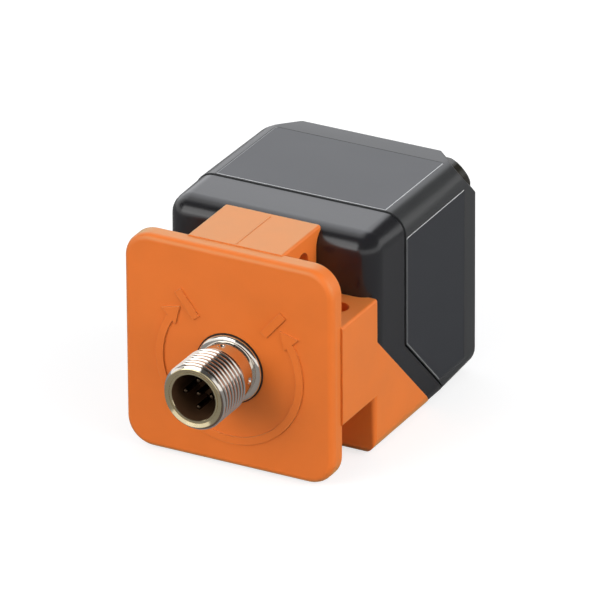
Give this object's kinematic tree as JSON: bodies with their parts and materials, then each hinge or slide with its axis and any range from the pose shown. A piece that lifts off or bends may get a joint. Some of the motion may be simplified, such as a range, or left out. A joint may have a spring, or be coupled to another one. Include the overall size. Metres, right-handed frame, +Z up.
{
  "type": "inductive proximity sensor",
  "caption": "Cubic inductive proximity sensor with a square front plate, a cross-shaped neck, a black sensing head with corner lights and a threaded plug that turns.",
  "frame": {"origin": "on the surface that the sensor stands on, under the middle of its length and width", "axes": "+X to the right seen from the plug, +Y from the plug to the sensing face, +Z up"},
  "size_m": [0.0408, 0.0662, 0.0408],
  "materials": {
    "orange_plastic": "fine-grained orange moulded plastic",
    "gloss_black": "glossy black moulded plastic",
    "matt_grey": "matt dark grey moulded plastic",
    "label_foil": "smooth dark foil with a thin pale frame line",
    "smoked_lens": "smoky olive-brown translucent plastic",
    "led_resin": "clear pale resin",
    "plated_brass": "bright plated brass, warm where it is worn at the tip",
    "insert_black": "matt black insert",
    "gold_contact": "gold-plated contact",
    "spring_steel": "bright spring steel",
    "seal_rubber": "black rubber",
    "screw_steel": "zinc-plated steel",
    "board_green": "green solder resist",
    "chip_black": "black epoxy with tinned legs",
    "capacitor_can": "bare aluminium can",
    "ferrite_grey": "dull dark grey sintered ferrite",
    "bobbin_cream": "cream moulded plastic",
    "copper_wire": "enamelled copper wire",
    "lead_brown": "brown insulation",
    "lead_white": "white insulation",
    "lead_blue": "blue insulation",
    "lead_black": "black insulation",
    "lead_grey": "grey insulation"
  },
  "bodies": {
    "housing": {"base_body": "orange_plastic", "front_shell": "gloss_black", "rear_housing": "matt_grey", "label_top": "label_foil", "label_side": "label_foil", "led_lens_left": "smoked_lens", "led_lens_right": "smoked_lens", "led_left": "led_resin", "led_right": "led_resin", "flange_seal": "seal_rubber", "floor_screws": "screw_steel", "main_board": "board_green", "sensor_chip": "chip_black", "output_chip": "chip_black", "capacitors": "capacitor_can", "ferrite_core": "ferrite_grey", "coil_bobbin": "bobbin_cream", "coil_winding": "copper_wire", "coil_leads": "copper_wire", "lead_1": "lead_brown", "lead_2": "lead_white", "lead_3": "lead_blue", "lead_4": "lead_black", "lead_5": "lead_grey"},
    "plug": {"connector_sleeve": "plated_brass", "contact_carrier": "insert_black", "contact_pin_1": "gold_contact", "contact_pin_2": "gold_contact", "contact_pin_3": "gold_contact", "contact_pin_4": "gold_contact", "contact_pin_5": "gold_contact", "sleeve_clip": "spring_steel", "shank_o_ring": "seal_rubber"}
  },
  "joints": [
    {"name": "plug_turn", "type": "hinge", "parent": "housing", "child": "plug", "pos_m": [0.0003, -0.01995, 0.0189], "axis": [0, 1, 0], "range_deg": [-140, 140]}
  ]
}
